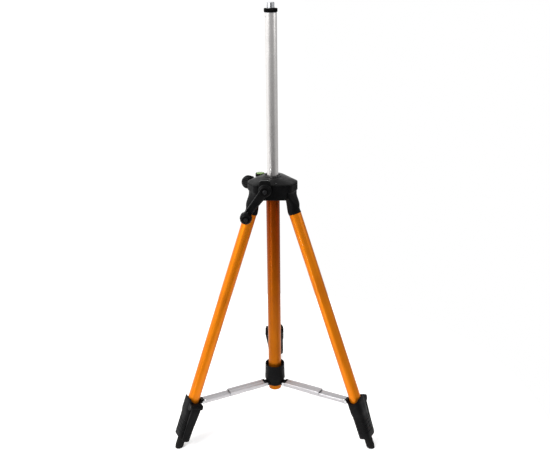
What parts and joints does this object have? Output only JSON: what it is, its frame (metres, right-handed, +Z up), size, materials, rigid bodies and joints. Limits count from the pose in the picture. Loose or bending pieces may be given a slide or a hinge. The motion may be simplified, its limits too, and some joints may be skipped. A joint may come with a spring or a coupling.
{
  "type": "elevating instrument tripod",
  "caption": "Folding tripod with a cranked elevating column, threaded instrument stud, bubble level, lever-locked telescoping legs and a sliding spreader.",
  "frame": {"origin": "on the floor, on the axis of the column", "axes": "+Z up along the column, -Y towards the crank side, +X right; one leg points to +Y"},
  "size_m": [0.4333, 0.385, 0.9035],
  "materials": {
    "black_plastic": "moulded, fine texture",
    "black_nylon": "smooth",
    "orange_tube": "satin orange finish on aluminium",
    "bare_tube": "drawn, satin",
    "strut_sheet": "rolled sheet",
    "zinc_steel": "zinc plated",
    "steel_rack": "oiled steel",
    "dark_disc": "dark anodised",
    "brass": "turned",
    "rubber_foot": "matte",
    "vial": "clear",
    "level_fluid": "clear green fluid"
  },
  "bodies": {
    "head": {"head_body": "black_plastic", "head_cap": "black_plastic", "cap_screws": "zinc_steel", "column_bush": "black_nylon", "centre_tube": "orange_tube", "centre_plug": "black_plastic", "leg_hinge_pins": "zinc_steel", "gear_cover": "black_plastic", "crank_bushes": "brass", "level_vial": "vial", "level_fluid": "level_fluid"},
    "pole": {"pole_tube": "bare_tube", "rack": "steel_rack", "stud_plug": "bare_tube", "pole_rivets": "zinc_steel", "pole_guide": "black_nylon"},
    "disc": {"lock_disc": "dark_disc"},
    "crank": {"crank_shaft": "zinc_steel", "pinion": "steel_rack", "crank_arm": "black_plastic", "crank_screw": "zinc_steel", "grip_axle": "zinc_steel"},
    "grip": {"crank_grip": "black_plastic"},
    "clamp": {"clamp_knob": "black_plastic", "clamp_screw": "zinc_steel"},
    "hub": {"spreader_hub": "black_plastic", "hub_pins": "zinc_steel"},
    "leg_rear": {"knuckle_rear": "black_plastic", "leg_tube_rear": "orange_tube", "lock_housing_rear": "black_plastic", "lug_pin_rear": "zinc_steel", "lever_pin_rear": "zinc_steel"},
    "lever_rear": {"lock_lever_rear": "black_plastic"},
    "inner_rear": {"inner_leg_rear": "bare_tube", "inner_bush_rear": "black_nylon", "foot_rear": "rubber_foot"},
    "channel_rear": {"strut_channel_rear": "strut_sheet"},
    "bar_rear": {"strut_bar_rear": "strut_sheet"},
    "leg_left": {"knuckle_left": "black_plastic", "leg_tube_left": "orange_tube", "lock_housing_left": "black_plastic", "lug_pin_left": "zinc_steel", "lever_pin_left": "zinc_steel"},
    "lever_left": {"lock_lever_left": "black_plastic"},
    "inner_left": {"inner_leg_left": "bare_tube", "inner_bush_left": "black_nylon", "foot_left": "rubber_foot"},
    "channel_left": {"strut_channel_left": "strut_sheet"},
    "bar_left": {"strut_bar_left": "strut_sheet"},
    "leg_right": {"knuckle_right": "black_plastic", "leg_tube_right": "orange_tube", "lock_housing_right": "black_plastic", "lug_pin_right": "zinc_steel", "lever_pin_right": "zinc_steel"},
    "lever_right": {"lock_lever_right": "black_plastic"},
    "inner_right": {"inner_leg_right": "bare_tube", "inner_bush_right": "black_nylon", "foot_right": "rubber_foot"},
    "channel_right": {"strut_channel_right": "strut_sheet"},
    "bar_right": {"strut_bar_right": "strut_sheet"}
  },
  "joints": [
    {"name": "pole_slide", "type": "slide", "parent": "head", "child": "pole", "axis": [0, 0, 1], "range_m": [-0.3, 0]},
    {"name": "crank_turn", "type": "hinge", "parent": "head", "child": "crank", "pos_m": [-0.0147, 0, 0.5535], "axis": [0, 1, 0], "range_deg": [0, 3825]},
    {"name": "grip_spin", "type": "hinge", "parent": "crank", "child": "grip", "pos_m": [-0.052, -0.067, 0.50435], "axis": [0, 1, 0], "continuous": true},
    {"name": "disc_spin", "type": "hinge", "parent": "pole", "child": "disc", "pos_m": [0, 0, 0.8893], "axis": [0, 0, 1], "continuous": true},
    {"name": "clamp_turn", "type": "hinge", "parent": "head", "child": "clamp", "pos_m": [-0.0433, 0.025, 0.549], "axis": [-0.866, 0.5, 0], "range_deg": [0, 450]},
    {"name": "leg_rear_fold", "type": "hinge", "parent": "head", "child": "leg_rear", "pos_m": [0, 0.033, 0.541], "axis": [-1, 0, 0], "range_deg": [0, 18.2]},
    {"name": "inner_rear_slide", "type": "slide", "parent": "leg_rear", "child": "inner_rear", "axis": [0, 0.3507, -0.9365], "range_m": [0, 0.33]},
    {"name": "lever_rear_open", "type": "hinge", "parent": "leg_rear", "child": "lever_rear", "pos_m": [-0.0216, 0.20117, 0.1002], "axis": [0, 0.9365, 0.3507], "range_deg": [0, 110]},
    {"name": "channel_rear_turn", "type": "hinge", "parent": "hub", "child": "channel_rear", "pos_m": [0, 0.026, 0.089], "axis": [-1, 0, 0], "range_deg": [0, 90.5]},
    {"name": "bar_rear_turn", "type": "hinge", "parent": "leg_rear", "child": "bar_rear", "pos_m": [0, 0.17929, 0.09735], "axis": [-1, 0, 0], "range_deg": [0, 72.3]},
    {"name": "leg_left_fold", "type": "hinge", "parent": "head", "child": "leg_left", "pos_m": [-0.02858, -0.0165, 0.541], "axis": [0.5, -0.866, 0], "range_deg": [0, 18.2]},
    {"name": "inner_left_slide", "type": "slide", "parent": "leg_left", "child": "inner_left", "axis": [-0.3037, -0.1753, -0.9365], "range_m": [0, 0.33]},
    {"name": "lever_left_open", "type": "hinge", "parent": "leg_left", "child": "lever_left", "pos_m": [-0.16342, -0.11929, 0.1002], "axis": [-0.811, -0.4682, 0.3507], "range_deg": [0, 110]},
    {"name": "channel_left_turn", "type": "hinge", "parent": "hub", "child": "channel_left", "pos_m": [-0.02252, -0.013, 0.089], "axis": [0.5, -0.866, 0], "range_deg": [0, 90.5]},
    {"name": "bar_left_turn", "type": "hinge", "parent": "leg_left", "child": "bar_left", "pos_m": [-0.15527, -0.08964, 0.09735], "axis": [0.5, -0.866, 0], "range_deg": [0, 72.3]},
    {"name": "leg_right_fold", "type": "hinge", "parent": "head", "child": "leg_right", "pos_m": [0.02858, -0.0165, 0.541], "axis": [0.5, 0.866, 0], "range_deg": [0, 18.2]},
    {"name": "inner_right_slide", "type": "slide", "parent": "leg_right", "child": "inner_right", "axis": [0.3037, -0.1753, -0.9365], "range_m": [0, 0.33]},
    {"name": "lever_right_open", "type": "hinge", "parent": "leg_right", "child": "lever_right", "pos_m": [0.18502, -0.08188, 0.1002], "axis": [0.811, -0.4682, 0.3507], "range_deg": [0, 110]},
    {"name": "channel_right_turn", "type": "hinge", "parent": "hub", "child": "channel_right", "pos_m": [0.02252, -0.013, 0.089], "axis": [0.5, 0.866, 0], "range_deg": [0, 90.5]},
    {"name": "bar_right_turn", "type": "hinge", "parent": "leg_right", "child": "bar_right", "pos_m": [0.15527, -0.08964, 0.09735], "axis": [0.5, 0.866, 0], "range_deg": [0, 72.3]},
    {"name": "hub_slide", "type": "slide", "parent": "head", "child": "hub", "axis": [0, 0, 1], "range_m": [0, 0.1672]}
  ],
  "couplings": [
    {"joint": "crank_turn", "follows": "pole_slide", "rad_per_m": -222.22},
    {"joint": "channel_rear_turn", "follows": "leg_rear_fold", "ratio": 4.9645},
    {"joint": "bar_rear_turn", "follows": "leg_rear_fold", "ratio": 3.9645},
    {"joint": "leg_left_fold", "follows": "leg_rear_fold", "ratio": 1},
    {"joint": "channel_left_turn", "follows": "leg_rear_fold", "ratio": 4.9645},
    {"joint": "bar_left_turn", "follows": "leg_rear_fold", "ratio": 3.9645},
    {"joint": "leg_right_fold", "follows": "leg_rear_fold", "ratio": 1},
    {"joint": "channel_right_turn", "follows": "leg_rear_fold", "ratio": 4.9645},
    {"joint": "bar_right_turn", "follows": "leg_rear_fold", "ratio": 3.9645},
    {"joint": "hub_slide", "follows": "leg_rear_fold", "m_per_rad": 0.52574}
  ]
}
